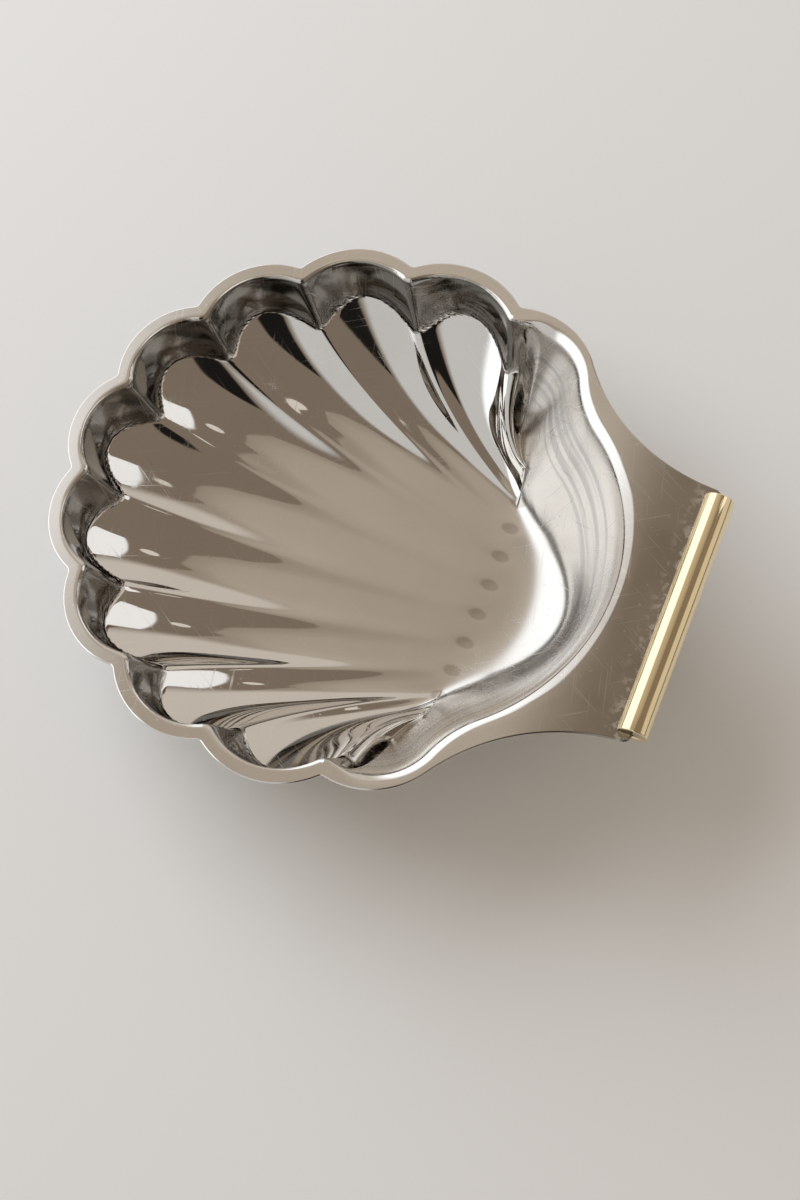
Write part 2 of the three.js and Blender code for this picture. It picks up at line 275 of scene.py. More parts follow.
def fluted_edge(side, inset, rounding):
    """Scalloped edge at places on the side of positive y: lobe arcs joined by small round corners."""
    k = np.minimum(np.round(side), LAST).astype(int)
    f = side - k
    own = k + 1
    after = np.minimum(own + 1, LAST + 1)
    centre = LOBE_CENTRES[own]
    radius = LOBE_RADII[own] - inset
    is_last = k == LAST
    far = np.where(is_last, own - 1, after)
    low = touching_centre(LOBE_CENTRES[own - 1], LOBE_RADII[own - 1] - inset, centre, radius, rounding)
    high = touching_centre(centre, radius, LOBE_CENTRES[far], LOBE_RADII[far] - inset, rounding)
    limit = 0.5 - FILLET_SHARE
    stop = np.where(is_last, SPLIT, direction(centre, high))
    span = np.where(is_last, PLACE_END - LAST + limit, 2.0 * limit)
    arc = on_arc(centre, radius, direction(centre, low), stop, (f + limit) / span)
    low_middle = (LOBE_CENTRES[own - 1] + centre) / 2.0
    high_middle = (LOBE_CENTRES[after] + centre) / 2.0
    low_u = np.clip((-f - limit) / FILLET_SHARE, 0.0, 1.0)
    high_u = np.clip((f - limit) / FILLET_SHARE, 0.0, 1.0)
    low_arc = on_arc(low, rounding, direction(low, centre), direction(low, low_middle), low_u)
    high_arc = on_arc(high, rounding, direction(high, centre), direction(high, high_middle), high_u)
    edge = np.where((f < -limit)[:, None], low_arc, arc)
    return np.where(((f > limit) & ~is_last)[:, None], high_arc, edge)


def arc_stretch(centre, radius, start, stop):
    """Length of an arc, and its points by share."""
    return radius * abs(turn_between(start, stop)), lambda u: on_arc(centre, radius, start, stop, u)


def line_stretch(start, stop):
    """Length of a straight stretch, and its points by share."""
    return np.linalg.norm(stop - start), lambda u: start + (stop - start) * u[:, None]


def along_chain(stretches, share):
    """Points at shares of the whole length of stretches that follow each other."""
    ends = np.concatenate([[0.0], np.cumsum([length for length, _ in stretches])])
    place = np.clip(share, 0.0, 1.0) * ends[-1]
    which = np.clip(np.searchsorted(ends, place, side="right") - 1, 0, len(stretches) - 1)
    points = np.zeros((len(share), 2))
    for i, (length, at) in enumerate(stretches):
        here = which == i
        points[here] = at((place[here] - ends[i]) / length)
    return points


def heel_circles():
    """Circles of the bowl's edge on the tab's side.

    They are the last lobe's centre and inner radius, the centre of the hollow throat that touches both the
    lobe and the heel, and the heel's centre.
    """
    lobe = LOBE_CENTRES[-1]
    inner = LOBE_RADII[-1] - FLANGE
    heel = np.array([ROD_REACH - TAB_LENGTH - HEEL_RADIUS, 0.0])
    throat = touching_centre(lobe, inner, heel, HEEL_RADIUS, THROAT_RADIUS)
    return lobe, inner, throat, heel


def heel_stretches():
    """Bowl's edge on the tab's side: the last lobe, the hollow throat, then the heel's arc."""
    lobe, inner, throat, heel = heel_circles()
    return [
        arc_stretch(lobe, inner, SPLIT, direction(lobe, throat)),
        arc_stretch(throat, THROAT_RADIUS, direction(throat, lobe), direction(throat, heel)),
        arc_stretch(heel, HEEL_RADIUS, direction(heel, throat), 0.0),
    ]


def tab_stretches():
    """Sheet's edge on the tab's side: the last lobe, the hollow side, a round corner, the straight end."""
    centre = LOBE_CENTRES[-1]
    radius = LOBE_RADII[-1]
    tab_end = ROD_REACH - ROD_DIAMETER / 2.0 + SLOT_DEPTH - FIT_GAP
    foot = np.array([ROD_REACH, TAB_HALF_WIDTH])
    side = touching_centre(centre, radius, foot, 0.0, TAB_SIDE_RADIUS)
    corner_x = tab_end - TAB_CORNER
    reach = TAB_SIDE_RADIUS + TAB_CORNER
    corner = np.array([corner_x, side[1] - math.sqrt(reach ** 2 - (corner_x - side[0]) ** 2)])
    return [
        arc_stretch(centre, radius, SPLIT, direction(centre, side)),
        arc_stretch(side, TAB_SIDE_RADIUS, direction(side, centre), direction(side, corner)),
        arc_stretch(corner, TAB_CORNER, direction(corner, side), 0.0),
        line_stretch(np.array([tab_end, corner[1]]), np.array([tab_end, 0.0])),
    ]


def ridge_ends(side):
    """Curve where the ridges run out on the floor: a bowed arc across the bowl."""
    across = np.sin(side * fan_step(RIDGE_END_FAN))
    return np.stack([RIDGE_END - RIDGE_END_BOW * across ** 2, RIDGE_END_RADIUS * across], -1)


def shelf_bends(side):
    """Ellipse near which the flutes turn from the wall's direction towards the ridges' ends."""
    a = side * fan_step(SHELF_FAN)
    return np.stack([-SHELF_HALF_LENGTH * np.cos(a), SHELF_HALF_WIDTH * np.sin(a)], -1)


def edge_tangent(edge, u):
    """Unit direction along an edge, from two places close together."""
    along = edge(u + EDGE_STEP) - edge(u - EDGE_STEP)
    return along / np.linalg.norm(along, axis=1)[:, None]


def straight_in(edge, u, end):
    """Point square in from an edge, half as far from it as the line's end is."""
    along = edge_tangent(edge, u)
    start = edge(u)
    half = np.linalg.norm(start - end, axis=1) / 2.0
    return start + np.stack([along[:, 1], -along[:, 0]], -1) * half[:, None]


def line_plan(places, on_heel):
    """Plan of the lines at these places: rim, rim's outward direction, bowl edge, bend and end.

    On the fluted side the lines bend on the shelves' ellipse, and past the last notch they turn more and
    more square to the edge.  On the heel's side they all start square to it.
    """
    side = np.abs(places)
    end = ridge_ends(side)
    if on_heel:
        share = 1.0 - side / PLACE_END
        within = np.clip(share, EDGE_STEP, 1.0 - EDGE_STEP)
        outer_edge = partial(along_chain, tab_stretches())
        inner_edge = partial(along_chain, heel_stretches())
        past = np.ones_like(side)
        bend = straight_in(inner_edge, within, end)
    else:
        share = side
        within = np.clip(side, EDGE_STEP, PLACE_END - EDGE_STEP)
        outer_edge = partial(fluted_edge, inset=0.0, rounding=NOTCH_ROUND)
        inner_edge = partial(fluted_edge, inset=FLANGE, rounding=CREST_ROUND)
        past = np.clip((side - LAST_NOTCH) / (PLACE_END - LAST_NOTCH), 0.0, 1.0)
        bend = shelf_bends(np.minimum(side, LAST_NOTCH))
        bend = mix(bend, straight_in(inner_edge, within, end), past[:, None] ** PAST_POWER)
    along = edge_tangent(outer_edge, within)
    outward = np.stack([-along[:, 1], along[:, 0]], -1)
    flip = np.stack([np.ones_like(side), np.where(places < 0.0, -1.0, 1.0)], -1)
    plan = {
        "outer": outer_edge(share),
        "outward": outward,
        "inner": inner_edge(share),
        "bend": bend,
        "end": end,
    }
    plan = {name: points * flip for name, points in plan.items()}
    return {**plan, "side": side, "past": past}


def to_arc(points, centre, radius, start, stop):
    """Distance from points to an arc, and the share of the arc where its nearest point is."""
    away = points - centre
    whole = turn_between(start, stop)
    turned = turn_between(start + whole / 2.0, np.arctan2(away[..., 1], away[..., 0]))
    share = np.clip(turned / whole + 0.5, 0.0, 1.0)
    nearest = on_arc(np.broadcast_to(centre, points.shape), radius, start, stop, share)
    return np.linalg.norm(points - nearest, axis=-1), share


def heel_wall(points):
    """Height of the plain wall and distance from its edge: its angle eases from the last notch onwards.

    The edge runs from the last notch round the last lobe, the hollow throat and the heel, and the distance
    is to its nearest point.
    """
    folded = np.stack([points[..., 0], np.abs(points[..., 1])], -1)
    lobe, inner, throat, heel = heel_circles()
    at_notch = direction(lobe, notch(LAST))
    lobe_d, lobe_share = to_arc(folded, lobe, inner, at_notch, direction(lobe, throat))
    throat_d, _ = to_arc(folded, throat, THROAT_RADIUS, direction(throat, lobe), direction(throat, heel))
    heel_d, heel_share = to_arc(folded, heel, HEEL_RADIUS, direction(heel, throat), 0.0)
    distance = np.minimum(np.minimum(lobe_d, throat_d), heel_d)
    lobe_angle = mix(LAST_NOTCH_ANGLE, LAST_LOBE_ANGLE, ease(LAST_LOBE_EASE * lobe_share))
    heel_angle = mix(LAST_LOBE_ANGLE, HEEL_ANGLE, ease(heel_share))
    angle = np.where(heel_d <= distance, heel_angle, LAST_LOBE_ANGLE)
    angle = np.where(lobe_d <= distance, lobe_angle, angle)
    return -np.tan(np.radians(angle)) * distance, distance


def floor_plane(x):
    """Height of the floor's upper face: a plane that slopes by the rest tilt."""
    return -FLOOR_DEPTH - math.tan(math.radians(REST_TILT)) * x


def trough(across, power):
    """Flute's section from its middle, 0, to a ridge's narrow rounded crest, 1."""
    rest = np.sqrt((1.0 - across) ** 2 + CREST_SHARPNESS ** 2) - CREST_SHARPNESS
    whole = math.sqrt(1.0 + CREST_SHARPNESS ** 2) - CREST_SHARPNESS
    return np.clip(1.0 - rest / whole, 0.0, 1.0) ** power


def height(plan, d, t, xy):
    """Upper face's height at distance d inside the bowl's edge, share t of the way to the line's end.

    Each flute's wall falls at its angle until the shelf takes over, and the shelf falls until the floor
    takes over.  The flutes' middles fall faster than the ridges between them.  The floor slopes by the rest
    tilt and carries the ridges on until they fade out.  On the tab's side a foot slopes up from the floor
    towards the heel, and the plain wall stands over all of that.  Each change is rounded.
    """
    side = plan["side"][:, None]
    past = plan["past"][:, None]
    across = np.where(side > LAST, 0.0, 2.0 * np.abs(side - np.round(side)))
    power = mix(WALL_CREST_POWER, FLOOR_CREST_POWER, ease(t * CREST_POWER_EASE))
    crest = np.where(past < 1.0, trough(across, power), 0.0)
    wall = np.tan(np.radians(mix(WALL_ANGLE, CREST_WALL_ANGLE, crest)))
    near_last = ease((side - LAST + LAST_SHELF_FROM) / LAST_SHELF_SPAN)
    crest_angle = mix(SHELF_ANGLE, LAST_SHELF_ANGLE, near_last)
    valley_angle = mix(VALLEY_SHELF_ANGLE, LAST_VALLEY_ANGLE, ease(LAST_VALLEY_EASE * past))
    shelf_angle = mix(valley_angle, crest_angle, crest)
    shelf = mix(VALLEY_SHELF_DEPTH, SHELF_DEPTH, crest) + np.tan(np.radians(shelf_angle)) * d
    drop = LAST_DROP * ease((past - LAST_DROP_PAST) / LAST_DROP_PAST_SPAN)
    fluted = -rounded_min(wall * d, shelf, KNEE_ROUND) - drop
    fade = 1.0 - np.clip(t, 0.0, 1.0)
    floor = floor_plane(xy[..., 0]) + RIDGE_HEIGHT * fade * crest
    bowl = rounded_max(fluted, floor, FLOOR_ROUND)
    away = ease((np.abs(xy[..., 1]) - FOOT_FADE_FROM) / FOOT_FADE_SPAN)
    plain, from_edge = heel_wall(xy)
    foot = floor + math.tan(math.radians(FOOT_ANGLE)) * (FOOT_REACH * (1.0 - away) - from_edge)
    bowl = rounded_max(bowl, foot, FOOT_ROUND)
    plain = np.where((d < 0.0) & (past > 0.0), -plain, plain)
    bowl = rounded_max(bowl, plain, mix(HEEL_FLOOR_ROUND, LAST_FLOOR_ROUND, away))
    return rounded_min(bowl, 0.0, mix(EDGE_ROUND, HEEL_EDGE_ROUND, ease(past)))


def dents(points):
    """Share of the small hollows where the ridges run out: an oval bell curve about each ridge's end.

    The last ridge on each side has none.
    """
    ends = ridge_ends(np.arange(1, LAST) - 0.5)
    along = (points[..., 0, None] - ends[:, 0]) / DENT_LENGTH
    across = (np.abs(points[..., 1, None]) - ends[:, 1]) / DENT_WIDTH
    return np.sum(np.exp(-(along ** 2 + across ** 2) / 2.0), -1)


def ripples(distance, past):
    """Low waves along the heel's edge, left by the press: a sine of the distance from it, in one band."""
    band = ease(distance / RIPPLE_START) * ease((RIPPLE_BAND - distance) / RIPPLE_STOP)
    band = band * ease((past - RIPPLE_PAST) / RIPPLE_PAST_SPAN)
    return RIPPLE_HEIGHT * np.sin(2.0 * math.pi * distance / RIPPLE_LENGTH) * band


def heel_worn(past, d, z):
    """Share of the heel's duller rubbed finish: the plain wall below its edge, fading out onto the floor."""
    plain = ease((past - WORN_PAST) / WORN_PAST_SPAN)
    return plain * ease((WORN_REACH - d) / WORN_FADE) * ease((-z - WORN_TOP) / WORN_TOP_FADE)


def line_points(plan):
    """Points of the lines' upper face, from just inside the rim's rounded edge to the floor's middle.

    Each line crosses the flange straight, then follows a curve of the second degree from the bowl's edge,
    past its bend, to its end.  The other results are each point's shares of the heel's worn finish, of the
    walls' strip and of the dents, and its distance inside the heel's edge.
    """
    inner = plan["inner"]
    bend = plan["bend"]
    rim = plan["outer"] - plan["outward"] * (SHEET / 2.0)
    share = np.concatenate([[1.0], RIM_KEEP * np.linspace(1.0, 0.0, FLANGE_RINGS) ** FLANGE_CROWD])
    flange = inner[:, None] + (rim - inner)[:, None] * share[None, :, None]
    flange_d = -np.linalg.norm(rim - inner, axis=1)[:, None] * share
    per_length = 1.0 / (2.0 * np.linalg.norm(bend - inner, axis=1))[:, None]
    wall_t = np.linspace(0.0, WALL_REACH, WALL_RINGS + 1)[1:] * per_length
    wall_end = WALL_REACH * per_length
    floor_t = mix(wall_end, 1.0, 1.0 - np.linspace(1.0, 0.0, FLOOR_RINGS + 1)[1:] ** FLOOR_CROWD)
    path_t = np.concatenate([wall_t, floor_t], 1)
    t = path_t[..., None]
    path = (1.0 - t) ** 2 * inner[:, None] + 2.0 * t * (1.0 - t) * bend[:, None]
    path = path + t ** 2 * plan["end"][:, None]
    steps = np.diff(np.concatenate([inner[:, None], path], 1), axis=1)
    path_d = np.cumsum(np.linalg.norm(steps, axis=2), 1)
    xy = np.concatenate([flange, path], 1)
    share_in = np.concatenate([np.zeros_like(flange_d), path_t], 1)
    d = np.concatenate([flange_d, path_d], 1)
    past = np.broadcast_to(plan["past"][:, None], d.shape)
    dent = dents(xy)
    z = height(plan, d, share_in, xy) - DENT_DEPTH * dent + ripples(d, past)
    worn = heel_worn(past, d, z)
    strip = (1.0 - ease(past / WALL_STRIP_PAST)) * (1.0 - ease((d - WALL_STRIP_WIDTH) / WALL_STRIP_FADE))
    inward = np.where(past > INWARD_PAST, np.maximum(d, 0.0), 0.0)
    return np.concatenate([xy, z[..., None]], -1), np.stack([worn, strip, dent, inward], -1)


def line_places():
    """Places of the lines, from one last lobe round to the other.

    In each flute they are halfway between even and sine spacing, so that they are closer together near the
    notches.  Past the last notch they start a little closer together.
    """
    u = np.arange(LINES_PER_FLUTE) / LINES_PER_FLUTE * 2.0 - 1.0
    f = (u + np.sin(u * math.pi / 2.0)) / 4.0
    flutes = np.arange(1 - LAST, LAST)[:, None] + f
    v = np.arange(LINES_PAST_NOTCH + 1) / LINES_PAST_NOTCH
    last = LAST_NOTCH + (PLACE_END - LAST_NOTCH) * mix(v, v * v, LAST_CROWD)
    return np.concatenate([-last[:0:-1], flutes.ravel(), last])


def vertex_normals(points, quads):
    """Unit normals of a grid's points: the summed cross products of the diagonals of the faces around."""
    across = points[quads[:, 2]] - points[quads[:, 0]]
    back = points[quads[:, 3]] - points[quads[:, 1]]
    face = np.cross(across, back)
    normal = np.zeros_like(points)
    for corner in range(4):
        np.add.at(normal, quads[:, corner], face)
    return normal / np.linalg.norm(normal, axis=1)[:, None]


def underside(points, normals):
    """Lower face: one sheet square in from the upper face, and never below the plane it stands on."""
    lower = points - SHEET * normals
    standing = floor_plane(lower[:, 0]) - SHEET / math.cos(math.radians(REST_TILT))
    lower[:, 2] = np.maximum(lower[:, 2], standing)
    return lower


def rim_round(outer, outward):
    """Rows of points round the rim: a half circle of the sheet's thickness, carried along the outline."""
    turn = np.linspace(math.pi / 2.0, -math.pi / 2.0, EDGE_ROWS + 1)[1:-1]
    out = outer[:, None] + outward[:, None] * (SHEET / 2.0 * (np.cos(turn) - 1.0))[None, :, None]
    down = np.broadcast_to(SHEET / 2.0 * (np.sin(turn) - 1.0), out.shape[:2])
    return np.concatenate([out, down[..., None]], -1)


def to_table(points):
    """Tilt points about the cross axis onto the flat floor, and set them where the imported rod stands."""
    a = math.radians(REST_TILT)
    low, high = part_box("slotted_rod")
    x = points[:, 0] * math.cos(a) - points[:, 2] * math.sin(a)
    z = points[:, 2] * math.cos(a) + points[:, 0] * math.sin(a)
    rod_x = ROD_REACH * math.cos(a) + SHEET / 2.0 * math.sin(a)
    rod_z = -SHEET / 2.0 * math.cos(a) + ROD_REACH * math.sin(a)
    place_x = high[0] / MM - ROD_DIAMETER / 2.0 - rod_x
    place_z = (low[2] + high[2]) / 2.0 / MM - rod_z
    return np.stack([x + place_x, points[:, 1], z + place_z], -1) * MM


def mesh_piece(name, points, faces, material, marks=None):
    """Mesh object at the origin from points in metres and faces by corner numbers, shaded smooth.

    Faces come in blocks that each have one number of corners.  Marks are values by name, one for each point,
    that the finish reads.
    """
    mesh = bpy.data.meshes.new(name)
    mesh.from_pydata(points.tolist(), [], [face for block in faces for face in block.tolist()])
    mesh.polygons.foreach_set("use_smooth", np.ones(len(mesh.polygons), dtype=bool))
    for mark, values in (marks or {}).items():
        mesh.attributes.new(mark, "FLOAT", "POINT").data.foreach_set("value", values.astype(np.float32))
    mesh.materials.append(material)
    mesh.update()
    piece = bpy.data.objects.new(name, mesh)
    bpy.context.collection.objects.link(piece)
    return piece


def pressed_shell(material):
    """Pressed sheet: an upper face of lines by rings, a lower face a sheet below it, and a half-round rim.

    The lines of the fluted side and of the heel's side end on one shared curve across the floor, so the
    grid has no pole.  The points that this leaves over are dropped.
    """
    places = line_places()
    fluted = line_plan(places, False)
    heel = line_plan(places[-2:0:-1], True)
    fluted_points, fluted_shares = line_points(fluted)
    heel_points, heel_shares = line_points(heel)
    upper = np.concatenate([fluted_points, heel_points])
    shares = np.concatenate([fluted_shares, heel_shares])
    count, rings = upper.shape[:2]
    own = np.arange(count * rings).reshape(count, rings)
    half = len(places)
    own[half:, -1] = own[half - 2:0:-1, -1]
    beside = np.roll(own, -1, axis=0)
    quads = np.stack([own[:, :-1], own[:, 1:], beside[:, 1:], beside[:, :-1]], -1).reshape(-1, 4)
    used = np.unique(quads)
    number = np.zeros(count * rings, dtype=int)
    number[used] = np.arange(len(used))
    quads = number[quads]
    points = upper.reshape(-1, 3)[used]
    worn, strip, dent, inward = shares.reshape(-1, 4)[used].T
    normals = vertex_normals(points, quads)
    # steep: share of the wall strip that is steep, where the finish paints shade and makes the steel rougher
    # and uneven
    steep = ease((STEEP_FROM - normals[:, 2]) / STEEP_SPAN) * strip
    worn = np.maximum(worn, STEEP_WORN * steep)
    outer = np.concatenate([fluted["outer"], heel["outer"]])
    outward = np.concatenate([fluted["outward"], heel["outward"]])
    rim = rim_round(outer, outward)
    total = len(points)
    rim_number = 2 * total + np.arange(count * rim.shape[1]).reshape(count, rim.shape[1])
    first = number[own[:, 0]]
    rows = np.concatenate([first[:, None], rim_number, first[:, None] + total], 1)
    rows_beside = np.roll(rows, -1, axis=0)
    rim_corners = [rows[:, :-1], rows_beside[:, :-1], rows_beside[:, 1:], rows[:, 1:]]
    rim_quads = np.stack(rim_corners, -1).reshape(-1, 4)
    everything = np.concatenate([points, underside(points, normals), rim.reshape(-1, 3)])
    faces = [quads, quads[:, ::-1] + total, rim_quads]
    unmarked = np.zeros(len(everything) - total)
    marks = {"worn": worn, "steep": steep, "dent": dent, "inward": inward}
    marks = {name: np.concatenate([share, unmarked]) for name, share in marks.items()}
    return mesh_piece("mirror_shell", to_table(everything), faces, material, marks)


def brass_rod(material):
    """Slotted rod: a round section with a slot, carried along the rod and drawn in a little at both ends.

    The section runs round the bar from one lip to the other and back along the slot.  Each end face is a
    strip between the two halves of that section, with a triangle at each lip.
    """
    radius = ROD_DIAMETER / 2.0
    half_slot = SHEET / 2.0 + FIT_GAP
    lip = math.asin(half_slot / radius)
    a = np.linspace(math.pi - lip, lip - math.pi, ROD_ARC)
    bar = np.stack([np.cos(a), np.sin(a)], -1) * radius
    mouth = -radius * math.cos(lip)
    bottom = SLOT_DEPTH - radius
    share = np.linspace(0.0, 1.0, ROD_ARC)
    slot_x = np.interp(share, SLOT_SHARES, [mouth, bottom, bottom, mouth])
    slot_z = np.interp(share, SLOT_SHARES, [half_slot, half_slot, -half_slot, -half_slot])
    slot = np.stack([slot_x, slot_z], -1)
    draw = np.linspace(0.0, 1.0, ROD_END_ROWS)
    ends = ROD_LENGTH / 2.0 - ROD_CHAMFER * (1.0 - np.sin(draw * math.pi / 2.0))
    inset = ROD_CHAMFER * (1.0 - np.cos(draw * math.pi / 2.0))
    body = np.linspace(-1.0, 1.0, ROD_ROWS)[1:-1] * (ROD_LENGTH / 2.0 - ROD_CHAMFER)
    y = np.concatenate([-ends[::-1], body, ends])
    drawn = np.concatenate([inset[::-1], np.zeros(len(body)), inset])
    scale = 1.0 - drawn / radius
    bar_rows = bar[None] * scale[:, None, None]
    slot_rows = np.broadcast_to(slot[None], (len(y),) + slot.shape)
    loop = np.concatenate([bar_rows, slot_rows[:, -2:0:-1]], 1)
    count = loop.shape[1]
    spread = np.broadcast_to(y[:, None], loop.shape[:2])
    points = np.stack([loop[..., 0] + ROD_REACH, spread, loop[..., 1] - SHEET / 2.0], -1)
    own = np.arange(len(y) * count).reshape(len(y), count)
    beside = np.roll(own, -1, axis=1)
    sides = np.stack([own[:-1], beside[:-1], beside[1:], own[1:]], -1).reshape(-1, 4)
    front = np.arange(1, ROD_ARC - 1)
    behind = np.arange(count - 1, ROD_ARC - 1, -1)
    strip = np.stack([behind[:-1], behind[1:], front[1:], front[:-1]], -1)
    lips = np.array([[0, behind[0], front[0]], [front[-1], behind[-1], ROD_ARC - 1]])
    low_end = [own[0][strip], own[0][lips]]
    high_end = [own[-1][strip][:, ::-1], own[-1][lips][:, ::-1]]
    return mesh_piece("brass_rod", to_table(points.reshape(-1, 3)), [sides, *low_end, *high_end], material)


class Nodes:
    """Short way of adding and joining shader nodes in one tree."""

    def __init__(self, tree):
        self.tree = tree
        tree.nodes.clear()

    def add(self, kind, inputs=None, **settings):
        """New node of a kind, with its settings, and its inputs as values or as sockets to join."""
        node = self.tree.nodes.new(kind)
        for name, value in settings.items():
            setattr(node, name, value)
        for name, value in (inputs or {}).items():
            socket = node.inputs[name]
            if isinstance(value, bpy.types.NodeSocket):
                self.tree.links.new(value, socket)
            else:
                socket.default_value = value
        return node

    def math(self, operation, a, b=0.0):
        """Result of one operation on two values or sockets."""
        return self.add("ShaderNodeMath", {0: a, 1: b}, operation=operation).outputs[0]

    def times(self, a, b):
        """Product of two values or sockets."""
        return self.math("MULTIPLY", a, b)

    def ramp(self, value, span, to=(0.0, 1.0)):
        """Value carried smoothly from one range to another."""
        ends = {"Value": value, "From Min": span[0], "From Max": span[1], "To Min": to[0], "To Max": to[1]}
        return self.add("ShaderNodeMapRange", ends, interpolation_type="SMOOTHSTEP").outputs["Result"]

    def noise(self, vector, scale, detail):
        """Noise value at a scale per unit of the vector."""
        inputs = {"Vector": vector, "Scale": scale, "Detail": detail}
        return self.add("ShaderNodeTexNoise", inputs).outputs["Fac"]

    def blend(self, share, a, b):
        """Colour blended from a to b."""
        return self.add("ShaderNodeMix", {0: share, 6: a, 7: b}, data_type="RGBA").outputs[2]

    def mark(self, name):
        """Value that the mesh carries at each point under a name."""
        return self.add("ShaderNodeAttribute", attribute_name=name).outputs["Fac"]

    def surface(self, inputs):
        """Surface shader with these inputs, joined to the material's output."""
        shader = self.add("ShaderNodeBsdfPrincipled", inputs)
        self.add("ShaderNodeOutputMaterial", {"Surface": shader.outputs[0]})


# Detail of noises
PLAIN = 0.0
MIXED = 2.0
CLOUDY = 3.0

# Steel's colours
MIRROR_LIGHT = (0.77, 0.74, 0.70, 1.0)
MIRROR_DARK = (0.74, 0.71, 0.67, 1.0)
# Tab's two tones of painted darker brown reflection
TAB_REFLECTION_DARK = (0.31, 0.27, 0.228, 1.0)
TAB_REFLECTION_LIGHT = (0.36, 0.315, 0.27, 1.0)
# Painted shade on the steep strip of wall under the lobes
STEEP_PAINTED_SHADE = (0.25, 0.238, 0.222, 1.0)
# Painted dark reflection at the dents where the ridges run out
DENT_PAINTED_REFLECTION = (0.42, 0.37, 0.31, 1.0)
# Scratches and specks are real marks; this lighter colour on them is a painted glint
SCRATCH_GLINT_COLOUR = (0.95, 0.94, 0.92, 1.0)
CRUST_COLOUR = (0.70, 0.67, 0.62, 1.0)
STREAK_COLOUR = (0.40, 0.40, 0.41, 1.0)

# Steel's marks: scales per metre, places in metres, and the ranges over which each mark comes in
SMEAR_SCALE = 35.0
SMEAR_RANGE = (0.3, 0.7)
SMEAR_ROUGH_RANGE = (0.35, 0.75)
SMEAR_ROUGHNESS = (0.03, 0.07)
SCRATCH_TURNS = ((0.55, 0.755), (1.8, 0.76), (2.6, 0.76))
SCRATCH_SIZE = (0.02, 0.0005, 0.02)
SCRATCH_SOFT = 0.03
SCRATCH_GLINT_SHARE = 0.16
SCRATCH_ROUGHNESS = 0.12
SPECK_SCALE = 700.0
SPECK_RANGE = (0.80, 0.84)
TAB_ALONG = (0.060, 0.092)
TAB_ABOVE = (0.046, 0.051)
# Patches of lighter and darker painted reflection on the tab
TAB_REFLECTION_PATCH_SCALE = 60.0
TAB_REFLECTION_PATCH_RANGE = (0.3, 0.7)
CRUST_ALONG = (0.093, 0.0995)
CRUST_SCALE = 420.0
CRUST_RANGE = (0.48, 0.62)
CRUST_SHARE = 0.6
CRUST_ROUGHNESS = 0.3
DENT_RANGE = (0.25, 0.6)
DENT_REFLECTION_SHARE = 0.5
STREAK_START = (2.5, 5.0)
STREAK_STOP = (19.0, 12.0)
STREAK_INWARD_SCALE = 0.6
STREAK_ACROSS_SCALE = 14.0
STREAK_RANGE = (0.46, 0.60)
STREAK_SHARE = 0.55
WORN_ROUGHNESS = 0.22
UNEVEN_SCALE = 60.0
UNEVEN_HEIGHT = 0.001

# Brass and table
BRASS_COLOUR = (0.93, 0.785, 0.52, 1.0)
BRASS_DRAWN = (1.0, 0.02, 1.0)
BRASS_LINE_SCALE = 1800.0
BRASS_LINE_RANGE = (0.3, 0.7)
BRASS_ROUGHNESS = (0.07, 0.13)
TABLE_COLOUR = (0.84, 0.86, 0.87, 1.0)
TABLE_ROUGHNESS = 0.6
TABLE_HALF = 4.0


def new_finish(name):
    """Empty material, and the way of adding its nodes."""
    material = bpy.data.materials.new(name)
    material.use_nodes = True
    return material, Nodes(material.node_tree)


def scratches(nodes, place, turn, keep):
    """Thin straight marks in one direction: noise drawn out along it and cut off near its top."""
    drawn = nodes.add(
        "ShaderNodeMapping",
        {"Vector": place, "Rotation": (0.0, 0.0, turn), "Scale": SCRATCH_SIZE},
        vector_type="TEXTURE",
    )
    return nodes.ramp(nodes.noise(drawn.outputs[0], 1.0, PLAIN), (keep, keep + SCRATCH_SOFT))


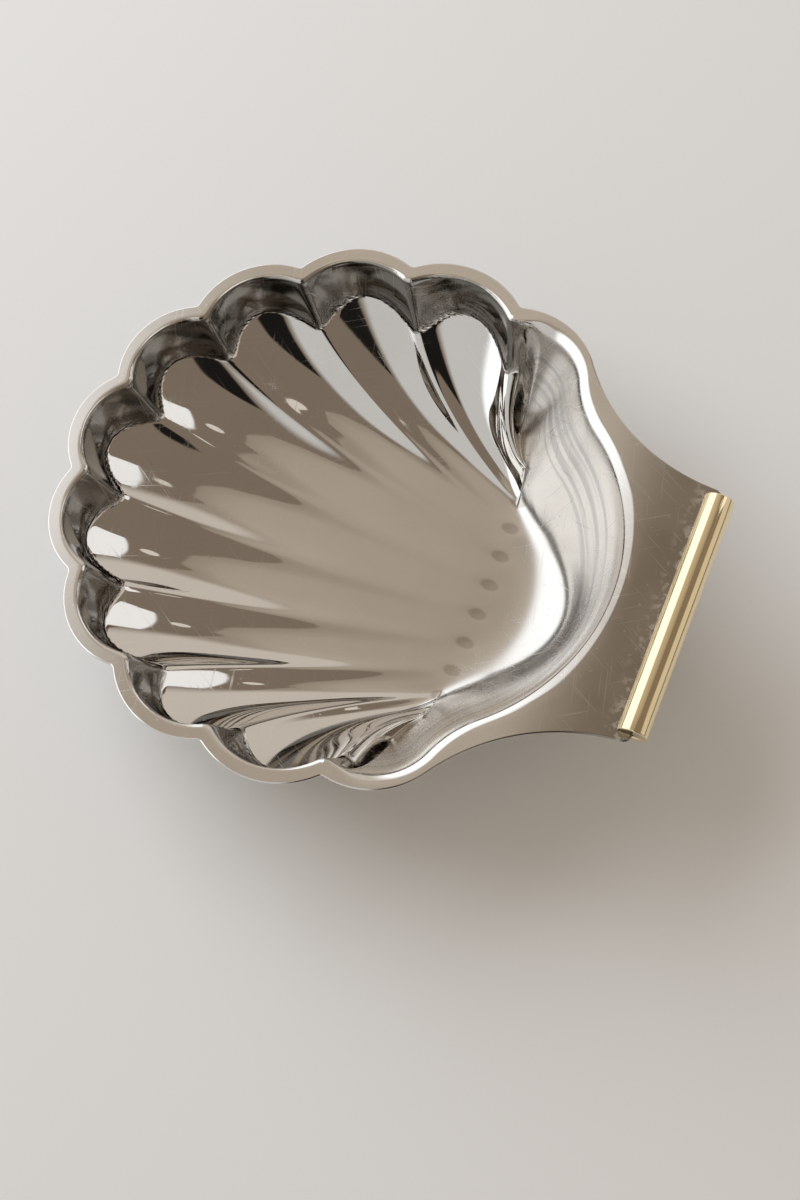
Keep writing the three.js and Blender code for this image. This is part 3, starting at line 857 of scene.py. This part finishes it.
def mirror_steel():
    """Polished steel: a warm grey mirror with faint smears, fine scratches and specks, whose lighter colour
    is a painted glint.

    The steep walls under the lobes are painted darker, as painted shade, and are a little uneven, and the
    dents are painted browner, as a painted dark reflection.  The heel's wall is rubbed duller, with grey
    streaks.  The tab is painted brown as a darker painted reflection, in patches, with a pale crust next to
    the rod.
    """
    material, nodes = new_finish("mirror_steel")
    place = nodes.add("ShaderNodeTexCoord").outputs["Object"]
    apart = nodes.add("ShaderNodeSeparateXYZ", {"Vector": place})
    along = apart.outputs["X"]
    worn = nodes.mark("worn")
    steep = nodes.mark("steep")
    inward = nodes.mark("inward")
    dent = nodes.ramp(nodes.mark("dent"), DENT_RANGE)
    smear = nodes.noise(place, SMEAR_SCALE, CLOUDY)
    marks = nodes.ramp(nodes.noise(place, SPECK_SCALE, PLAIN), SPECK_RANGE)
    for turn, keep in SCRATCH_TURNS:
        marks = nodes.math("MAXIMUM", marks, scratches(nodes, place, turn, keep))
    tab = nodes.times(nodes.ramp(along, TAB_ALONG), nodes.ramp(apart.outputs["Z"], TAB_ABOVE))
    # Patches of lighter and darker painted reflection on the tab
    tab_reflection_patches = nodes.ramp(nodes.noise(place, TAB_REFLECTION_PATCH_SCALE, CLOUDY), TAB_REFLECTION_PATCH_RANGE)
    crust = nodes.times(nodes.ramp(along, CRUST_ALONG), tab)
    crust = nodes.times(crust, nodes.ramp(nodes.noise(place, CRUST_SCALE, CLOUDY), CRUST_RANGE))
    band = nodes.times(nodes.ramp(inward, STREAK_START), nodes.ramp(inward, STREAK_STOP))
    inward_part = nodes.times(inward, STREAK_INWARD_SCALE)
    across_part = nodes.times(apart.outputs["Y"], STREAK_ACROSS_SCALE)
    drawn = nodes.add("ShaderNodeCombineXYZ", {"X": inward_part, "Y": across_part}).outputs[0]
    streak = nodes.times(nodes.ramp(nodes.noise(drawn, 1.0, MIXED), STREAK_RANGE), band)
    streak = nodes.times(nodes.times(streak, worn), STREAK_SHARE)
    colour = nodes.blend(nodes.ramp(smear, SMEAR_RANGE), MIRROR_LIGHT, MIRROR_DARK)
    # Tab's top: painted darker brown reflection
    colour = nodes.blend(tab, colour, nodes.blend(tab_reflection_patches, TAB_REFLECTION_DARK, TAB_REFLECTION_LIGHT))
    # Steep wall strip: painted shade
    colour = nodes.blend(steep, colour, STEEP_PAINTED_SHADE)
    # Dents: painted dark reflection
    colour = nodes.blend(nodes.times(dent, DENT_REFLECTION_SHARE), colour, DENT_PAINTED_REFLECTION)
    # Scratches and specks: lighter colour as a painted glint
    colour = nodes.blend(nodes.times(marks, SCRATCH_GLINT_SHARE), colour, SCRATCH_GLINT_COLOUR)
    colour = nodes.blend(nodes.times(crust, CRUST_SHARE), colour, CRUST_COLOUR)
    colour = nodes.blend(streak, colour, STREAK_COLOUR)
    rough = nodes.ramp(smear, SMEAR_ROUGH_RANGE, SMEAR_ROUGHNESS)
    for share, amount in ((worn, WORN_ROUGHNESS), (marks, SCRATCH_ROUGHNESS), (crust, CRUST_ROUGHNESS)):
        rough = nodes.math("ADD", rough, nodes.times(share, amount))
    uneven = nodes.times(nodes.noise(place, UNEVEN_SCALE, PLAIN), steep)
    bump = nodes.add("ShaderNodeBump", {"Strength": 1.0, "Distance": UNEVEN_HEIGHT, "Height": uneven})
    normal = bump.outputs["Normal"]
    nodes.surface({"Base Color": colour, "Metallic": 1.0, "Roughness": rough, "Normal": normal})
    return material


def drawn_brass():
    """Polished brass bar with faint lines along its length."""
    material, nodes = new_finish("drawn_brass")
    place = nodes.add("ShaderNodeTexCoord").outputs["Object"]
    drawn = nodes.add("ShaderNodeMapping", {"Vector": place, "Scale": BRASS_DRAWN}).outputs[0]
    lines = nodes.noise(drawn, BRASS_LINE_SCALE, MIXED)
    rough = nodes.ramp(lines, BRASS_LINE_RANGE, BRASS_ROUGHNESS)
    nodes.surface({"Base Color": BRASS_COLOUR, "Metallic": 1.0, "Roughness": rough})
    return material


def pale_table():
    """Matt pale table top."""
    material, nodes = new_finish("pale_table")
    nodes.surface({"Base Color": TABLE_COLOUR, "Roughness": TABLE_ROUGHNESS})
    return material


# Directions of the picture in plan: to its right and to its top
PICTURE_RIGHT = Vector((0.9266, 0.3762, 0.0))
PICTURE_TOP = Vector((-0.3762, 0.9266, 0.0))

# Colours of the room that the mirror shows, and of the light that other surfaces and the camera get
NEAR_CEILING = (0.425, 0.368, 0.30, 1.0)
FAR_CEILING = (0.60, 0.53, 0.45, 1.0)
CEILING_STRIP = (0.235, 0.19, 0.148, 1.0)
CEILING_LAMP = (0.78, 0.73, 0.66, 1.0)
LOW_WALL = (0.09, 0.085, 0.08, 1.0)
TOP_WALL = (0.66, 0.61, 0.55, 1.0)
RIGHT_WALL = (0.66, 0.60, 0.52, 1.0)
LOWER_LEFT_WALL = (0.66, 0.66, 0.655, 1.0)
LEFT_WALL = (1.45, 1.49, 1.54, 1.0)
WINDOW_PANE = (1.05, 1.05, 1.06, 1.0)
CUPBOARD = (0.13, 0.075, 0.055, 1.0)
DARK_OPENING = (0.012, 0.011, 0.010, 1.0)
EVEN_FILL = (0.46, 0.395, 0.33, 1.0)
BACKDROP = (0.80, 0.80, 0.79, 1.0)

# Places in that room, as parts of a direction to the picture's right, top and lower right corner, and up
CEILING_RIGHT = -0.08
CEILING_TOP = 0.40
CEILING_FAR = (0.0, -0.75)
CEILING_DIM = (0.20, 0.42)
CEILING_DIM_SHARE = 0.4
CORNER_PART = 0.7
STRIP_EDGE = (0.375, 0.39)
STRIP_CORNER = (-0.185, -0.165)
STRIP_WAVE_SCALE = 7.0
STRIP_WAVE_HEIGHT = 0.12
LAMP_RIGHT = (0.415, 0.045)
LAMP_TOP = (0.37, 0.042)
LAMP_EDGE = (1.15, 0.85)
LOW_WALL_UP = (0.60, 0.35)
TOP_WALL_TOP = (0.58, 0.72)
RIGHT_WALL_RIGHT = (0.70, 0.78)
RIGHT_WALL_UP = (0.05, 0.15)
LOWER_LEFT_RIGHT = (-0.17, -0.30)
LOWER_LEFT_TOP = (0.0, -0.15)
LEFT_WALL_RIGHT = (-0.42, -0.60)
LEFT_WALL_LEAN_FROM = 0.2
LEFT_WALL_LEAN = 0.42
LEFT_WALL_FOOT = -0.6
LEFT_WALL_FOOT_SLOPE = 1.4
LEFT_WALL_FOOT_SOFT = (-0.1, 0.1)
PANE_RIGHT = (0.50, 0.76)
PANE_TOP = (0.23, 0.62)
CUPBOARD_RIGHT = (0.53, 0.67)
CUPBOARD_TOP = (0.62, 0.71)
FRAME_SOFT = 0.01
OPENING_TOP = (-0.42, -0.45)
OPENING_HALF = (0.19, 0.15)

# Window that lights the dish, with its place to the picture's right, to its top and up, in metres
WINDOW_WIDTH = 1.95
WINDOW_HEIGHT = 1.56
WINDOW_POWER = 34.5
WINDOW_COLOUR = (0.90, 0.945, 1.0)
WINDOW_RIGHT = -1.235
WINDOW_TOP = 1.118
WINDOW_UP = 1.053

# Camera, with its target in the pressing's drawing, and its distance in metres
CAMERA_TARGET = (29.2, -24.9, 0.0)
CAMERA_FORWARD = (-0.1135, 0.2795, -0.9534)
CAMERA_DISTANCE = 0.5431
CAMERA_LENS = 51.0
CAMERA_SENSOR = 36.0
CAMERA_CLIP = 20.0


def room_light():
    """Room around the dish by direction, seen by reflections only.

    It has a warm ceiling about a middle point, with a small lamp and a darker strip beyond a wavy edge.
    Around it are walls at the picture's top, right and left, with a window pane and a cupboard to the right,
    a dark low wall and a dark opening below.  Other surfaces get an even fill, and the camera gets a pale
    backdrop.
    """
    world = bpy.data.worlds.new("room")
    bpy.context.scene.world = world
    world.use_nodes = True
    nodes = Nodes(world.node_tree)
    way = nodes.add("ShaderNodeTexCoord").outputs["Generated"]

    def along(axis):
        """Part of the direction along an axis."""
        node = nodes.add("ShaderNodeVectorMath", {0: way, 1: tuple(axis)}, operation="DOT_PRODUCT")
        return node.outputs["Value"]

    def between(value, ends):
        """Share of a band between two ends with narrow soft edges."""
        low, high = ends
        rising = nodes.ramp(value, (low, low + FRAME_SOFT))
        return nodes.times(rising, nodes.ramp(value, (high, high - FRAME_SOFT)))

    def square_from(value, middle, size=1.0):
        """Square of the distance from a middle, counted in sizes."""
        off = nodes.math("DIVIDE", nodes.math("SUBTRACT", value, middle), size)
        return nodes.math("POWER", off, 2.0)

    right = along(PICTURE_RIGHT)
    top = along(PICTURE_TOP)
    up = along((0.0, 0.0, 1.0))
    corner = nodes.math("SUBTRACT", nodes.times(right, CORNER_PART), nodes.times(top, CORNER_PART))
    square = nodes.math("ADD", square_from(right, CEILING_RIGHT), square_from(top, CEILING_TOP))
    wave = nodes.times(nodes.noise(way, STRIP_WAVE_SCALE, MIXED), STRIP_WAVE_HEIGHT)
    away = nodes.math("ADD", nodes.math("SQRT", square), wave)
    ceiling = nodes.blend(nodes.ramp(corner, CEILING_FAR), NEAR_CEILING, FAR_CEILING)
    dim = nodes.times(nodes.ramp(away, CEILING_DIM), CEILING_DIM_SHARE)
    ceiling = nodes.blend(dim, ceiling, CEILING_STRIP)
    strip = nodes.times(nodes.ramp(away, STRIP_EDGE), nodes.ramp(corner, STRIP_CORNER))
    colour = nodes.blend(strip, ceiling, CEILING_STRIP)
    colour = nodes.blend(nodes.ramp(up, LOW_WALL_UP), colour, LOW_WALL)
    colour = nodes.blend(nodes.ramp(top, TOP_WALL_TOP), colour, TOP_WALL)
    right_wall = nodes.times(nodes.ramp(right, RIGHT_WALL_RIGHT), nodes.ramp(up, RIGHT_WALL_UP))
    colour = nodes.blend(right_wall, colour, RIGHT_WALL)
    lower_left = nodes.times(nodes.ramp(right, LOWER_LEFT_RIGHT), nodes.ramp(top, LOWER_LEFT_TOP))
    colour = nodes.blend(lower_left, colour, LOWER_LEFT_WALL)
    foot = nodes.times(nodes.math("SUBTRACT", right, LEFT_WALL_FOOT), LEFT_WALL_FOOT_SLOPE)
    above_foot = nodes.ramp(nodes.math("SUBTRACT", top, foot), LEFT_WALL_FOOT_SOFT)
    raised = nodes.math("MAXIMUM", nodes.math("SUBTRACT", top, LEFT_WALL_LEAN_FROM), 0.0)
    leant = nodes.math("SUBTRACT", right, nodes.times(raised, LEFT_WALL_LEAN))
    left_wall = nodes.times(nodes.ramp(leant, LEFT_WALL_RIGHT), above_foot)
    colour = nodes.blend(left_wall, colour, LEFT_WALL)
    pane = nodes.times(between(right, PANE_RIGHT), between(top, PANE_TOP))
    colour = nodes.blend(pane, colour, WINDOW_PANE)
    cupboard = nodes.times(between(right, CUPBOARD_RIGHT), between(top, CUPBOARD_TOP))
    colour = nodes.blend(cupboard, colour, CUPBOARD)
    lamp = nodes.math("ADD", square_from(right, *LAMP_RIGHT), square_from(top, *LAMP_TOP))
    colour = nodes.blend(nodes.ramp(lamp, LAMP_EDGE), colour, CEILING_LAMP)
    beside = nodes.ramp(nodes.math("ABSOLUTE", right), OPENING_HALF)
    opening = nodes.times(nodes.ramp(top, OPENING_TOP), beside)
    colour = nodes.blend(opening, colour, DARK_OPENING)
    light_path = nodes.add("ShaderNodeLightPath")
    colour = nodes.blend(light_path.outputs["Is Glossy Ray"], EVEN_FILL, colour)
    colour = nodes.blend(light_path.outputs["Is Camera Ray"], colour, BACKDROP)
    background = nodes.add("ShaderNodeBackground", {"Color": colour, "Strength": 1.0})
    nodes.add("ShaderNodeOutputWorld", {"Surface": background.outputs[0]})


def window_light():
    """Large soft window to the upper left of the picture, hidden from reflections."""
    data = bpy.data.lights.new("window", "AREA")
    data.shape = "RECTANGLE"
    data.size = WINDOW_WIDTH
    data.size_y = WINDOW_HEIGHT
    data.energy = WINDOW_POWER
    data.color = WINDOW_COLOUR
    lamp = bpy.data.objects.new("window", data)
    bpy.context.collection.objects.link(lamp)
    place = PICTURE_RIGHT * WINDOW_RIGHT + PICTURE_TOP * WINDOW_TOP + Vector((0.0, 0.0, WINDOW_UP))
    lamp.location = place
    lamp.visible_glossy = False
    lamp.rotation_euler = (-place).to_track_quat("-Z", "Y").to_euler()


def table_top(material):
    """Flat square of table under the dish."""
    corners = np.array([[-1.0, -1.0, 0.0], [1.0, -1.0, 0.0], [1.0, 1.0, 0.0], [-1.0, 1.0, 0.0]])
    table = mesh_piece("table_top", corners * TABLE_HALF, [np.array([[0, 1, 2, 3]])], material)


def picture_camera():
    """Camera high over the dish, from the side below the picture, at the photograph's angle."""
    data = bpy.data.cameras.new("camera")
    data.sensor_fit = "VERTICAL"
    data.sensor_height = CAMERA_SENSOR
    data.lens = CAMERA_LENS
    data.clip_end = CAMERA_CLIP
    camera = bpy.data.objects.new("camera", data)
    bpy.context.collection.objects.link(camera)
    bpy.context.scene.camera = camera
    target = to_table(np.array([CAMERA_TARGET]))[0]
    forward = Vector(CAMERA_FORWARD).normalized()
    right = PICTURE_RIGHT.normalized()
    up = right.cross(forward)
    turn = Matrix((right, up, -forward)).transposed()
    camera.matrix_world = Matrix.Translation(Vector(target) - forward * CAMERA_DISTANCE) @ turn.to_4x4()


bpy.context.scene.view_settings.view_transform = "Standard"
picture_camera()

shell = pressed_shell(mirror_steel())
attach(shell, "root")
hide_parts("pressed_shell")

rod = brass_rod(drawn_brass())
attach(rod, "root")
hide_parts("slotted_rod")

room_light()
window_light()
table_top(pale_table())
